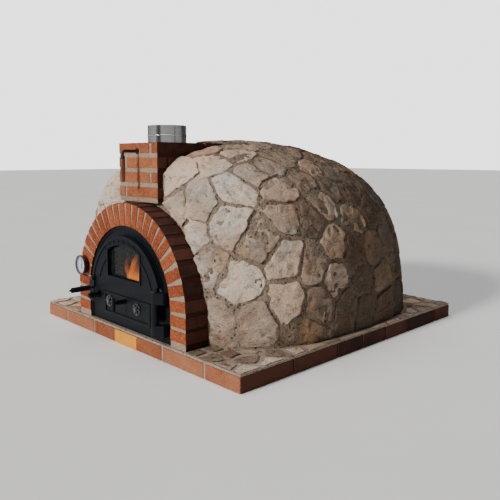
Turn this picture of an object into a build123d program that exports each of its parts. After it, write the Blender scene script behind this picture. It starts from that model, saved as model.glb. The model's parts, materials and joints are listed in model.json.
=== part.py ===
"""Wood fired pizza oven: a stone clad refractory dome on a brick edged slab, with a brick arch,
a glazed cast iron door over a small draught door, a brick chimney with a damper, and a thermometer.

Millimetres. +Z is up, the doors face -Y, and the origin is the centre of the slab's underside.
"""

from build123d import *
from math import atan2, cos, degrees, hypot, pi, radians, sin
import os
import random

os.makedirs("parts", exist_ok=True)

# ---------------------------------------------------------------- driving dimensions
SLAB_SIDE = 1200            # square base, outside the brick edging
LEDGE_Z = 60                # top of the paved ledge
EDGE_Z = 49                 # top of the edging bricks
EDGE_WIDTH = 50             # width of the edging bricks
BED_Z = 56                  # top of the mortar bed that everything stands on
SPRING_Z = 169              # springing line of the arch, the door and the throat

BRICK_THICK = 36
BRICK_DEPTH = 94            # of the arch, front to back
ARCH_FACE_Y = -592
ARCH_INNER_R = 259
ARCH_OUTER_R = 340
THIN_BRICK, THIN_COUNT = 30, 14       # the bricks that close the crown of the arch

DOME_HALF_X = 580           # at the foot, over the stones
DOME_HALF_Y = 556
DOME_HEIGHT = 682           # over the mortar bed
FRONT_WALL_Y = -520         # flat wall behind the arch
STONE_THICK = 18
RENDER = (23, 45)           # depth of each layer's two faces under the stones' faces
BLANKET = (46, 85)
REFRACTORY = (86, 136)

HEARTH_Z = 98               # top of the hearth tiles
THROAT_INNER_R = 235
THROAT_OUTER_R = 300
THROAT_BACK_Y = -386

FLUE_Y = -408
FLUE_R = 70                 # outside of the collar: a 140 mm flue pipe
CHIMNEY_HALF_X = 120
CHIMNEY_FRONT_Y = -537
CHIMNEY_BACK_Y = -240
CHIMNEY_TOP_Z = 718
COURSE = 51.6               # brick and joint
DAMPER_Z = 689

FRAME_Y = -582              # front of the cast frame
LEAF_Y = -602               # front of the upper door leaf
LEAF_BACK_Y = -590
LEAF_R = 224
LEAF_FOOT_Z = 182
HINGE_X, HINGE_Y = 208, -616
LATCH_X, LATCH_Z = -208, 214
KEEPER_X, KEEPER_Z = -210, 149
FLAP_LEFT, FLAP_RIGHT = -141, 156
FLAP_FOOT_Z, FLAP_TOP_Z = 96, 179
FLAP_Y, FLAP_BACK_Y = -596, -586
FLAP_HINGE_Y, FLAP_HINGE_Z = -591, 102
TURN_Z = 161                # the turn handle's shaft, at x = 0
VENT_XS = (-106, 73)
VENT_Z = 145
GAUGE_X, GAUGE_Z = -295, 254
SHAFT_PLAY = 0.05           # radial, of every shaft in its bore


def front_plane(y):
    """A sketch plane facing the front at this y: sketch x and y are the oven's x and z."""
    return Plane.XZ.offset(-y)


def save(builder, name):
    builder.part.label = name
    export_step(builder.part, f"parts/{name}.step")


def arch_outline(radius, foot_z):
    """A half disc on straight legs, standing on foot_z."""
    with BuildSketch() as outline:
        with BuildLine():
            Line((-radius, foot_z), (radius, foot_z))
            Line((radius, foot_z), (radius, SPRING_Z))
            CenterArc((0, SPRING_Z), radius, 0, 180)
            Line((-radius, SPRING_Z), (-radius, foot_z))
        make_face()
    return outline.sketch


def segment_outline(radius, foot_z):
    """The part of a disc round the springing centre that lies above foot_z."""
    with BuildSketch() as outline:
        with Locations((0, SPRING_Z)):
            Circle(radius)
        with Locations((0, foot_z)):
            Rectangle(2 * radius, 2 * radius, align=(Align.CENTER, Align.MAX), mode=Mode.SUBTRACT)
    return outline.sketch


def window_outline(grow):
    """The door window, grown all round: straight sides under a shallow arched head."""
    half, sill, shoulder, crown = 102 + grow, 241 - grow, 335 + grow * 0.7, 361 + grow
    with BuildSketch() as outline:
        with BuildLine():
            Polyline((-half, shoulder), (-half, sill), (half, sill), (half, shoulder))
            ThreePointArc((half, shoulder), (0, crown), (-half, shoulder))
        make_face()
    return outline.sketch


# ---------------------------------------------------------------- the dome's shape
def dome_point(turn, rise, depth):
    """A point on the dome: a superellipse in plan that shrinks as it rises and leans to the front.

    turn is the angle round the dome, rise goes from 0 at the foot to 1 at the top, and depth is
    how far the surface lies under the faces of the stones. The shoulder is squarer over the
    door, the front corners round off as they rise, and the front is cut off flat behind the arch.
    """
    shoulder = 3.87 + 2.4 * max(0, -sin(turn)) ** 4
    corner = 3 - 0.6 * rise if sin(turn) < 0 else 3
    shrink = (1 - rise ** shoulder) ** 0.505
    reach = shrink * (abs(cos(turn)) ** corner + abs(sin(turn)) ** corner) ** (-1 / corner)
    x = (DOME_HALF_X - depth) * reach * cos(turn)
    y = 16 - 96 * rise + (DOME_HALF_Y - depth) * reach * sin(turn)
    return Vector(x, max(y, FRONT_WALL_Y + depth), BED_Z + (DOME_HEIGHT - depth) * rise)


DOME_RISES = (0, 0.3, 0.5, 0.64, 0.75, 0.83, 0.89, 0.935, 0.967, 0.988, 0.998)
DOME_SIDES = 32


def dome_solid(depth):
    """The whole dome inside one layer's face, as straight panels between level sections."""
    with BuildPart() as solid:
        for rise in DOME_RISES:
            ring = [dome_point(2 * pi * k / DOME_SIDES, rise, depth) for k in range(DOME_SIDES)]
            with BuildSketch(Plane.XY.offset(ring[0].Z)):
                Polygon([(point.X, point.Y) for point in ring])
        loft(ruled=True)
    return solid.part


def dome_footprint(depth):
    with BuildSketch() as outline:
        ring = [dome_point(2 * pi * k / DOME_SIDES, 0, depth) for k in range(DOME_SIDES)]
        Polygon([(point.X, point.Y) for point in ring])
    return outline.sketch


# ---------------------------------------------------------------- base
with BuildPart() as base_slab:
    with Locations((0, 0, EDGE_Z / 2)):
        Box(SLAB_SIDE - 2 * EDGE_WIDTH, SLAB_SIDE - 2 * EDGE_WIDTH, EDGE_Z)
save(base_slab, "base_slab")

JOINT = 9
HALF = SLAB_SIDE / 2
EDGE_JOINTS = {
    "front": (0, (-438, -219, 0, 222, 439)),
    "right": (90, (-375, -156, -15, 128, 271, 483)),
    "back": (180, (-432, -212, 8, 228, 446)),
    "left": (270, (-390, -170, 50, 270, 474)),
}
for side, (turn, joints) in EDGE_JOINTS.items():
    with BuildPart() as edge_bricks:
        with BuildSketch(Plane.XY.rotated((0, 0, turn))):
            inner = HALF - EDGE_WIDTH
            Polygon((-HALF, -HALF), (HALF, -HALF), (inner, -inner), (-inner, -inner))
            with Locations(*[(x, -HALF + EDGE_WIDTH / 2) for x in joints]):
                Rectangle(JOINT, EDGE_WIDTH, mode=Mode.SUBTRACT)
        extrude(amount=EDGE_Z)
    save(edge_bricks, f"edge_bricks_{side}")

with BuildPart() as edge_joint_mortar:
    for turn, joints in EDGE_JOINTS.values():
        with BuildSketch(Plane.XY.offset(2).rotated((0, 0, turn))):
            with Locations(*[(x, -HALF + EDGE_WIDTH / 2 + 1) for x in joints]):
                Rectangle(JOINT, EDGE_WIDTH - 2)
    extrude(amount=EDGE_Z - 2)
save(edge_joint_mortar, "edge_joint_mortar")

with BuildPart() as bedding_mortar:
    with Locations((0, 0, EDGE_Z)):
        Box(SLAB_SIDE - 4, SLAB_SIDE - 4, BED_Z - EDGE_Z, align=(Align.CENTER, Align.CENTER, Align.MIN))
save(bedding_mortar, "bedding_mortar")

# ---------------------------------------------------------------- hearth
with BuildPart() as insulation_board:
    with BuildSketch(Plane.XY.offset(BED_Z)):
        add(dome_footprint(REFRACTORY[1] + 12))
        with Locations((0, THROAT_BACK_Y + 1)):
            Rectangle(900, 300, align=(Align.CENTER, Align.MAX), mode=Mode.SUBTRACT)
    extrude(amount=20)
save(insulation_board, "insulation_board")

TILE = 220
with BuildPart() as hearth_tiles:
    with BuildSketch(Plane.XY.offset(BED_Z + 20)):
        add(dome_footprint(REFRACTORY[1] + 12))
        with Locations((0, THROAT_BACK_Y + 1)):
            Rectangle(900, 300, align=(Align.CENTER, Align.MAX), mode=Mode.SUBTRACT)
        with Locations(*[(x * TILE, 0) for x in (-1, 0, 1)]):
            Rectangle(2, 1000, mode=Mode.SUBTRACT)
        with Locations(*[(0, THROAT_BACK_Y + 1 + k * TILE) for k in (1, 2, 3)]):
            Rectangle(1000, 2, mode=Mode.SUBTRACT)
    extrude(amount=HEARTH_Z - BED_Z - 20)
save(hearth_tiles, "hearth_tiles")

with BuildPart() as throat_floor:
    with BuildSketch(Plane.XY.offset(BED_Z)):
        with Locations((0, FRAME_Y + 22)):
            Rectangle(2 * THROAT_INNER_R - 2, THROAT_BACK_Y - FRAME_Y - 22, align=(Align.CENTER, Align.MIN))
    extrude(amount=HEARTH_Z - BED_Z)
save(throat_floor, "throat_floor")

# ---------------------------------------------------------------- dome layers
render_outer = dome_solid(RENDER[0])
throat_hole = arch_outline(THROAT_OUTER_R + 1, BED_Z - 1)
layers = {"insulation_blanket": BLANKET, "dome_render": RENDER, "refractory_dome": REFRACTORY}
for name, (outer, inner) in layers.items():
    with BuildPart() as layer:
        add(render_outer if outer == RENDER[0] else dome_solid(outer))
        add(dome_solid(inner), mode=Mode.SUBTRACT)
        with BuildSketch(front_plane(THROAT_BACK_Y + 6)):
            add(throat_hole)
        extrude(amount=300, mode=Mode.SUBTRACT)
        with BuildSketch(Plane.XY.offset(300)):
            with Locations((0, FLUE_Y)):
                Circle(FLUE_R + 2)
        extrude(amount=500, mode=Mode.SUBTRACT)
    if name != "refractory_dome":
        save(layer, name)

# the refractory dome is cast in two halves that meet over the middle
for side, sign in (("right", 1), ("left", -1)):
    with BuildPart() as dome_half:
        add(layer.part)
        with Locations((-sign * 499.5, 0, 400)):
            Box(1000, 1400, 900, mode=Mode.SUBTRACT)
    save(dome_half, f"refractory_dome_{side}")

with BuildPart() as throat_vault:
    with BuildSketch(front_plane(THROAT_BACK_Y)):
        add(arch_outline(THROAT_OUTER_R, BED_Z))
        add(arch_outline(THROAT_INNER_R, BED_Z), mode=Mode.SUBTRACT)
    extrude(amount=THROAT_BACK_Y - ARCH_FACE_Y - BRICK_DEPTH)
    with BuildSketch(Plane.XY.offset(300)):
        with Locations((0, FLUE_Y)):
            Circle(FLUE_R + 2)
    extrude(amount=500, mode=Mode.SUBTRACT)
save(throat_vault, "throat_vault")

# ---------------------------------------------------------------- stones
JOINT_GAP = 18
BACK_SCALE = 0.8            # a stone's buried back, against its face


def clip(outline, inside):
    """Keep the part of a convex outline where inside(point) is positive."""
    kept = []
    for here, there in zip(outline, outline[1:] + outline[:1]):
        a, b = inside(here), inside(there)
        if a > 0:
            kept.append(here)
        if a * b < 0:
            share = a / (a - b)
            kept.append((here[0] + share * (there[0] - here[0]), here[1] + share * (there[1] - here[1])))
    return kept


def area(outline):
    return sum(a[0] * b[1] - b[0] * a[1] for a, b in zip(outline, outline[1:] + outline[:1])) / 2


def scatter(candidates, spacing):
    """Keep the candidates that stand at least the local spacing from every one kept before."""
    kept = []
    for point in candidates:
        gap = spacing(point)
        if all((point - other).length > gap for other in kept):
            kept.append(point)
    return kept


def stone_outline(plane, seed, seeds, walls, reach):
    """One stone's outline on its own plane: nearer to its seed than to any other, inside the walls."""
    corners = [(reach * cos(radians(a)), reach * sin(radians(a))) for a in range(15, 375, 30)]
    limits = [((seed + other) / 2, (seed - other).normalized(), JOINT_GAP / 2)
              for other in seeds if 0 < (seed - other).length < 3 * reach]
    for point, inward, margin in limits + walls:
        corners = clip(corners, lambda c: (plane.origin + plane.x_dir * c[0] + plane.y_dir * c[1] - point)
                       .dot(inward) - margin)
        if not corners:
            break
    return corners


def stone_walls(seed):
    """What a facing stone keeps clear of: the ledge, the arch and the chimney."""
    walls = [(Vector(0, 0, LEDGE_Z), Vector(0, 0, 1), 3)]
    from_arch = Vector(seed.X, 0, seed.Z - SPRING_Z)
    if seed.Y < -380:
        if seed.Z < SPRING_Z:
            from_arch = Vector(seed.X, 0, 0)
        away = from_arch.normalized()
        walls.append((Vector(0, 0, SPRING_Z) + away * ARCH_OUTER_R, away, 9))
    if abs(seed.X) - CHIMNEY_HALF_X > seed.Y - CHIMNEY_BACK_Y:
        side = 1 if seed.X > 0 else -1
        walls.append((Vector(side * CHIMNEY_HALF_X, 0, 0), Vector(side, 0, 0), 9))
    else:
        walls.append((Vector(0, CHIMNEY_BACK_Y, 0), Vector(0, 1, 0), 6))
    return walls


def stone_spacing(point):
    """Big stones beside the arch, middling ones on the flanks and small ones near the top."""
    return 108 if point.Y < -330 else 93 if point.Z < 560 else 86


dice = random.Random(29)
candidates = []
while len(candidates) < 5000:
    spot = dome_point(dice.uniform(0, 2 * pi), dice.uniform(0.02, 0.9995) ** 0.8, 0)
    clear_of_arch = spot.Y > -505 or hypot(spot.X, max(spot.Z - SPRING_Z, 0)) > ARCH_OUTER_R + 20
    clear_of_chimney = spot.Y > CHIMNEY_BACK_Y + 25 or abs(spot.X) > CHIMNEY_HALF_X + 25
    if clear_of_arch and clear_of_chimney and spot.Z > LEDGE_Z + 25:
        candidates.append(spot)
seeds = scatter(candidates, stone_spacing)


def dome_plane(spot):
    """The plane that touches the dome at a spot, found from its gradient."""
    def level(x, y, z):
        rise = min(max((z - BED_Z) / DOME_HEIGHT, 0), 0.9995)
        heading = atan2((y - 16 + 96 * rise) / DOME_HALF_Y, x / DOME_HALF_X)
        skin = dome_point(heading, rise, 0)
        lean = 16 - 96 * rise
        return hypot(x, y - lean) - hypot(skin.X, skin.Y - lean)
    step = 2
    slope = Vector(*[level(*(spot + axis * step)) - level(*(spot - axis * step))
                     for axis in (Vector(1, 0, 0), Vector(0, 1, 0), Vector(0, 0, 1))])
    return Plane(origin=spot, z_dir=slope.normalized())


stones = {"right": [], "left": [], "back": [], "crown": []}
for seed in seeds:
    plane = dome_plane(seed)
    outline = stone_outline(plane, seed, seeds, stone_walls(seed), 125)
    if len(outline) < 3 or area(outline) < 1500:
        continue
    facing = plane.z_dir
    if facing.Z > 0.72:
        region = "crown"
    elif facing.Y > abs(facing.X):
        region = "back"
    else:
        region = "right" if seed.X > 0 else "left"
    stones[region].append((plane, outline))
print("facing stones:", {region: len(group) for region, group in stones.items()})

for region, group in stones.items():
    with BuildPart() as facing_stones:
        for plane, outline in group:
            middle = (sum(c[0] for c in outline) / len(outline), sum(c[1] for c in outline) / len(outline))
            back = [tuple(m + BACK_SCALE * (v - m) for v, m in zip(corner, middle)) for corner in outline]
            with BuildSketch(plane):
                Polygon(outline)
            with BuildSketch(plane.offset(-STONE_THICK)):
                Polygon(back)
            loft(ruled=True)
    save(facing_stones, f"facing_stones_{region}")

# flagstones on the ledge, laid flat round the foot of the dome
foot = [dome_point(2 * pi * k / 48, 0, 0) for k in range(48)]
candidates = []
while len(candidates) < 2500:
    spot = Vector(dice.uniform(-590, 590), dice.uniform(-590, 590), LEDGE_Z)
    beyond = abs(spot.X / DOME_HALF_X) ** 3 + abs((spot.Y - 16) / DOME_HALF_Y) ** 3 > 1.02
    if beyond and not (abs(spot.X) < ARCH_OUTER_R + 15 and spot.Y < 0):
        candidates.append(spot)
flag_seeds = scatter(candidates, lambda point: 62)
with BuildPart() as ledge_stones:
    for seed in flag_seeds:
        spot_plane = Plane(origin=seed, z_dir=(0, 0, 1))
        nearest = min(foot, key=lambda point: hypot(point.X - seed.X, point.Y - seed.Y))
        outward = Vector(seed.X - nearest.X, seed.Y - nearest.Y, 0).normalized()
        slope = Vector(abs(nearest.X / DOME_HALF_X) ** 2 * (1 if nearest.X > 0 else -1) / DOME_HALF_X,
                       abs((nearest.Y - 16) / DOME_HALF_Y) ** 2 * (1 if nearest.Y > 16 else -1) / DOME_HALF_Y, 0)
        walls = [(nearest, slope.normalized(), 8),
                 (Vector(HALF, 0, 0), Vector(-1, 0, 0), 6), (Vector(-HALF, 0, 0), Vector(1, 0, 0), 6),
                 (Vector(0, HALF, 0), Vector(0, -1, 0), 6), (Vector(0, -HALF, 0), Vector(0, 1, 0), 6)]
        if seed.Y < -480:
            side = 1 if seed.X > 0 else -1
            walls.append((Vector(side * ARCH_OUTER_R, 0, 0), Vector(side, 0, 0), 8))
        outline = stone_outline(spot_plane, seed, flag_seeds, walls, 75)
        if len(outline) > 2 and area(outline) > 500:
            with BuildSketch(spot_plane):
                Polygon(outline)
            extrude(amount=BED_Z - LEDGE_Z)
save(ledge_stones, "ledge_stones")

# ---------------------------------------------------------------- brick arch
THICK_SECTOR, THICK_COUNT = 9.6, 4         # degrees, and how many, of the thick bricks on each leg
THIN_SECTOR = (180 - 2 * THICK_COUNT * THICK_SECTOR) / THIN_COUNT
arch_places = [((k + 0.5) * THICK_SECTOR, BRICK_THICK) for k in range(THICK_COUNT)]
arch_places += [(180 - angle, thick) for angle, thick in arch_places]
arch_places += [(THICK_COUNT * THICK_SECTOR + (k + 0.5) * THIN_SECTOR, THIN_BRICK) for k in range(THIN_COUNT)]
LEG_BRICK_ZS = (SPRING_Z - 24, SPRING_Z - 72)
ring_mid = (ARCH_INNER_R + ARCH_OUTER_R) / 2
ring_width = ARCH_OUTER_R - ARCH_INNER_R
with BuildSketch() as brick_faces:
    for angle, thick in arch_places:
        middle = (ring_mid * cos(radians(angle)), SPRING_Z + ring_mid * sin(radians(angle)))
        with Locations(Location(middle, angle)):
            Rectangle(ring_width, thick)
    with Locations(*[(side * ring_mid, z) for side in (-1, 1) for z in LEG_BRICK_ZS]):
        Rectangle(ring_width, BRICK_THICK)

STEM_HOLE_R = 4.5
with BuildPart() as arch_bricks:
    with BuildSketch(front_plane(ARCH_FACE_Y + BRICK_DEPTH)):
        add(brick_faces.sketch)
    extrude(amount=BRICK_DEPTH)
    with BuildSketch(front_plane(ARCH_FACE_Y + BRICK_DEPTH)):
        with Locations((GAUGE_X, GAUGE_Z)):
            Circle(STEM_HOLE_R)
    extrude(amount=BRICK_DEPTH, mode=Mode.SUBTRACT)
save(arch_bricks, "arch_bricks")

MORTAR_RECESS = 2
with BuildPart() as arch_mortar:
    with BuildSketch(front_plane(ARCH_FACE_Y + BRICK_DEPTH)):
        add(arch_outline(ARCH_OUTER_R - MORTAR_RECESS, BED_Z))
        add(arch_outline(ARCH_INNER_R, BED_Z - 1), mode=Mode.SUBTRACT)
        add(brick_faces.sketch, mode=Mode.SUBTRACT)
    extrude(amount=BRICK_DEPTH - MORTAR_RECESS)
save(arch_mortar, "arch_mortar")

# ---------------------------------------------------------------- chimney
COURSES = 4
WALL = 42
with BuildPart() as chimney_bricks:
    for row in range(COURSES):
        low = CHIMNEY_TOP_Z - BRICK_THICK - row * COURSE
        hand = 1 if row in (0, 2) else -1
        joint_x = hand * (CHIMNEY_HALF_X - WALL)
        with BuildSketch(Plane.XY.offset(low)):
            with Locations(((joint_x - hand * 7 - hand * CHIMNEY_HALF_X) / 2, CHIMNEY_FRONT_Y)):
                Rectangle(abs(joint_x - hand * 7 + hand * CHIMNEY_HALF_X), 38, align=(Align.CENTER, Align.MIN))
            near, far = CHIMNEY_FRONT_Y, CHIMNEY_BACK_Y
            for side in (-1, 1):
                start = near if side == hand else near + 38 + 12
                cuts = [start + 198, start + 210]
                with Locations((side * (CHIMNEY_HALF_X - (WALL - 7) / 2), (start + cuts[0]) / 2)):
                    Rectangle(WALL - 7, cuts[0] - start)
                if cuts[1] < far - 20:
                    with Locations((side * (CHIMNEY_HALF_X - (WALL - 7) / 2), (cuts[1] + far) / 2)):
                        Rectangle(WALL - 7, far - cuts[1])
        extrude(amount=BRICK_THICK)
    add(render_outer, mode=Mode.SUBTRACT)
    with BuildSketch(front_plane(-400)):
        with Locations((0, DAMPER_Z)):
            Circle(8)
    extrude(amount=200, mode=Mode.SUBTRACT)
chimney_brick_solids = chimney_bricks.part
save(chimney_bricks, "chimney_bricks")

with BuildPart() as chimney_mortar:
    low = SPRING_Z + ARCH_OUTER_R + 1
    with BuildSketch(Plane.XY.offset(low)):
        with Locations((0, CHIMNEY_FRONT_Y + MORTAR_RECESS)):
            Rectangle(2 * (CHIMNEY_HALF_X - MORTAR_RECESS), CHIMNEY_BACK_Y - CHIMNEY_FRONT_Y - MORTAR_RECESS,
                      align=(Align.CENTER, Align.MIN))
    extrude(amount=CHIMNEY_TOP_Z - MORTAR_RECESS - low)
    add(chimney_brick_solids, mode=Mode.SUBTRACT)
    add(render_outer, mode=Mode.SUBTRACT)
    with BuildSketch(Plane.XY.offset(300)):
        with Locations((0, FLUE_Y)):
            Circle(FLUE_R + 2)
    extrude(amount=500, mode=Mode.SUBTRACT)
    with BuildSketch(front_plane(-300)):
        with Locations((0, DAMPER_Z)):
            Circle(8)
    extrude(amount=300, mode=Mode.SUBTRACT)
save(chimney_mortar, "chimney_mortar")

DAMPER_SHAFT_R = 5
with BuildPart() as flue_pipe:
    with BuildSketch(Plane.XY.offset(450)):
        with Locations((0, FLUE_Y)):
            Circle(FLUE_R - 2)
            Circle(FLUE_R - 3.5, mode=Mode.SUBTRACT)
    extrude(amount=300)
    with BuildSketch(front_plane(-300)):
        with Locations((0, DAMPER_Z)):
            Circle(DAMPER_SHAFT_R + SHAFT_PLAY)
    extrude(amount=300, mode=Mode.SUBTRACT)
save(flue_pipe, "flue_pipe")

COLLAR_LOW, COLLAR_TOP, BEAD_Z = 719, 782, 745
with BuildPart() as flue_collar:
    with BuildSketch(Plane.XY.offset(COLLAR_LOW)):
        with Locations((0, FLUE_Y)):
            Circle(FLUE_R)
            Circle(FLUE_R - 1.7, mode=Mode.SUBTRACT)
    extrude(amount=COLLAR_TOP - COLLAR_LOW)
    with BuildSketch(Plane.YZ):
        with Locations((FLUE_Y + FLUE_R, BEAD_Z)):
            Ellipse(2, 2.6)
        with Locations((FLUE_Y, BEAD_Z)):
            Rectangle(2 * FLUE_R - 0.6, 8, mode=Mode.SUBTRACT)
    revolve(axis=Axis((0, FLUE_Y, 0), (0, 0, 1)))
save(flue_collar, "flue_collar")

# the damper's shaft runs in from the chimney's face, through the flue, and its crank hangs down
SHAFT_END_Y = -337
CRANK_Y = -597
HANDLE_TOP_Z, HANDLE_FOOT_Z = 670, 582
with BuildPart() as damper_shaft:
    with BuildLine():
        FilletPolyline((0, SHAFT_END_Y, DAMPER_Z), (0, CRANK_Y, DAMPER_Z), (0, CRANK_Y, HANDLE_FOOT_Z + 20),
                       radius=9)
    with BuildSketch(Plane(origin=(0, SHAFT_END_Y, DAMPER_Z), z_dir=(0, -1, 0))):
        Circle(DAMPER_SHAFT_R)
    sweep()
    with Locations((0, FLUE_Y, DAMPER_Z)):
        Box(2, 121, 20, mode=Mode.SUBTRACT)
save(damper_shaft, "damper_shaft")

with BuildPart() as damper_plate:
    with BuildSketch(Plane.YZ.offset(-1)):
        with Locations((FLUE_Y, DAMPER_Z)):
            Circle(60)
    extrude(amount=2)
save(damper_plate, "damper_plate")

with BuildPart() as damper_bush:
    with BuildSketch(front_plane(CHIMNEY_FRONT_Y)):
        with Locations((0, DAMPER_Z)):
            Circle(11)
            Circle(DAMPER_SHAFT_R + SHAFT_PLAY, mode=Mode.SUBTRACT)
    extrude(amount=2.5)
    with BuildSketch(front_plane(CHIMNEY_FRONT_Y)):
        with Locations((0, DAMPER_Z)):
            Circle(7.9)
            Circle(DAMPER_SHAFT_R + SHAFT_PLAY, mode=Mode.SUBTRACT)
    extrude(amount=-40)
save(damper_bush, "damper_bush")

with BuildPart() as damper_handle:
    with BuildSketch(Plane.YZ):
        with BuildLine():
            Polyline((CRANK_Y - 6, HANDLE_FOOT_Z), (CRANK_Y, HANDLE_FOOT_Z), (CRANK_Y, HANDLE_TOP_Z - 8),
                     (CRANK_Y - 7, HANDLE_TOP_Z - 8))
            ThreePointArc((CRANK_Y - 7, HANDLE_TOP_Z - 8), (CRANK_Y - 8.6, HANDLE_TOP_Z - 50),
                          (CRANK_Y - 6, HANDLE_FOOT_Z))
        make_face()
    revolve(axis=Axis((0, CRANK_Y, 0), (0, 0, 1)))
    with BuildSketch(Plane.XY.offset(HANDLE_FOOT_Z + 19)):
        with Locations((0, CRANK_Y)):
            Circle(DAMPER_SHAFT_R + SHAFT_PLAY)
    extrude(amount=100, mode=Mode.SUBTRACT)
save(damper_handle, "damper_handle")

with BuildPart() as damper_ferrule:
    with BuildSketch(Plane.XY.offset(HANDLE_TOP_Z - 8)):
        with Locations((0, CRANK_Y)):
            Circle(8)
            Circle(DAMPER_SHAFT_R + SHAFT_PLAY, mode=Mode.SUBTRACT)
    extrude(amount=10)
save(damper_ferrule, "damper_ferrule")

# ---------------------------------------------------------------- cast iron frame
PIN_R = 6
OPENING_R = 208
RAIL_TOP_Z, RAIL_FOOT_Z = 188, 175
FRAME_R = 257
KEEPER_R = 8.5
EAR_XS = (FLAP_LEFT - 5, FLAP_RIGHT + 5)
LUG_LOWS = (84, 192)
LUG_TALL = 38
with BuildPart() as door_frame:
    with BuildSketch(front_plane(FRAME_Y + 12)):
        add(arch_outline(FRAME_R, BED_Z))
        add(segment_outline(OPENING_R, RAIL_TOP_Z), mode=Mode.SUBTRACT)
        with Locations((HINGE_X - 14, RAIL_TOP_Z - 1)):
            Rectangle(20, 58, align=(Align.MIN, Align.MIN))     # closes the leaf's notch behind the upper lug
        with Locations(((FLAP_LEFT + FLAP_RIGHT) / 2, 106)):
            Rectangle(FLAP_RIGHT - FLAP_LEFT - 20, RAIL_FOOT_Z - 106, align=(Align.CENTER, Align.MIN),
                      mode=Mode.SUBTRACT)
    extrude(amount=12)
    with BuildSketch(front_plane(FRAME_Y)):
        add(arch_outline(FRAME_R, BED_Z))
        add(arch_outline(FRAME_R - 8, BED_Z - 1), mode=Mode.SUBTRACT)
    extrude(amount=3)
    with BuildSketch(front_plane(FRAME_Y + 80)):
        add(arch_outline(FRAME_R - 1, BED_Z))
        add(arch_outline(FRAME_R - 9, BED_Z - 1), mode=Mode.SUBTRACT)
    extrude(amount=68)
    with BuildSketch(front_plane(FRAME_Y)):
        with Locations((KEEPER_X, KEEPER_Z)):
            Circle(13)
    extrude(amount=5)
save(door_frame, "door_frame")

with BuildPart() as keeper_stud:
    with BuildSketch(front_plane(FRAME_Y - 5)):
        with Locations((KEEPER_X, KEEPER_Z)):
            Circle(KEEPER_R)
    extrude(amount=40)
    fillet(keeper_stud.faces().sort_by(Axis.Y)[0].edges(), 2)
save(keeper_stud, "keeper_stud")

with BuildPart() as hinge_lugs:
    for low in LUG_LOWS:
        with BuildSketch(Plane.XY.offset(low)):
            Polygon((204, -627), (216, -627), (242, -606), (244, FRAME_Y - 3), (222, FRAME_Y - 3), (220, -598),
                    (204, -605))
            with Locations((HINGE_X, HINGE_Y)):
                Circle(12)
            with Locations((HINGE_X, HINGE_Y)):
                Circle(PIN_R + SHAFT_PLAY, mode=Mode.SUBTRACT)
        extrude(amount=LUG_TALL)
    for low in LUG_LOWS:
        with BuildSketch(front_plane(FRAME_Y)):
            with Locations((230, low + LUG_TALL / 2)):
                Rectangle(16, LUG_TALL)
        extrude(amount=3)
save(hinge_lugs, "hinge_lugs")

with BuildPart() as hinge_pin:
    with BuildSketch(Plane.XY.offset(80)):
        with Locations((HINGE_X, HINGE_Y)):
            Circle(PIN_R)
    extrude(amount=150)
    with BuildSketch(Plane.XY.offset(230)):
        with Locations((HINGE_X, HINGE_Y)):
            Circle(11.5)
    extrude(amount=6)
    fillet(hinge_pin.faces().sort_by(Axis.Z)[-1].edges(), 2)
save(hinge_pin, "hinge_pin")

with BuildPart() as flap_hinge_ears:
    for x in EAR_XS:
        with BuildSketch(Plane.YZ.offset(x - 3.5)):
            with Locations((FLAP_HINGE_Y, FLAP_HINGE_Z)):
                Circle(7)
            with Locations(((FLAP_HINGE_Y + FRAME_Y) / 2, FLAP_HINGE_Z)):
                Rectangle(FRAME_Y - FLAP_HINGE_Y, 14)
            with Locations((FLAP_HINGE_Y, FLAP_HINGE_Z)):
                Circle(3 + SHAFT_PLAY, mode=Mode.SUBTRACT)
            with Locations((FRAME_Y, FLAP_HINGE_Z)):
                Rectangle(20, 40, align=(Align.MIN, Align.CENTER), mode=Mode.SUBTRACT)
        extrude(amount=7)
save(flap_hinge_ears, "flap_hinge_ears")

with BuildPart() as rope_seal:
    with BuildSketch(front_plane(FRAME_Y)):
        add(segment_outline(OPENING_R + 9, LEAF_FOOT_Z + 1))
        add(segment_outline(OPENING_R + 1, RAIL_TOP_Z - 0.5), mode=Mode.SUBTRACT)
    extrude(amount=7.2)
save(rope_seal, "rope_seal")

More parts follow.
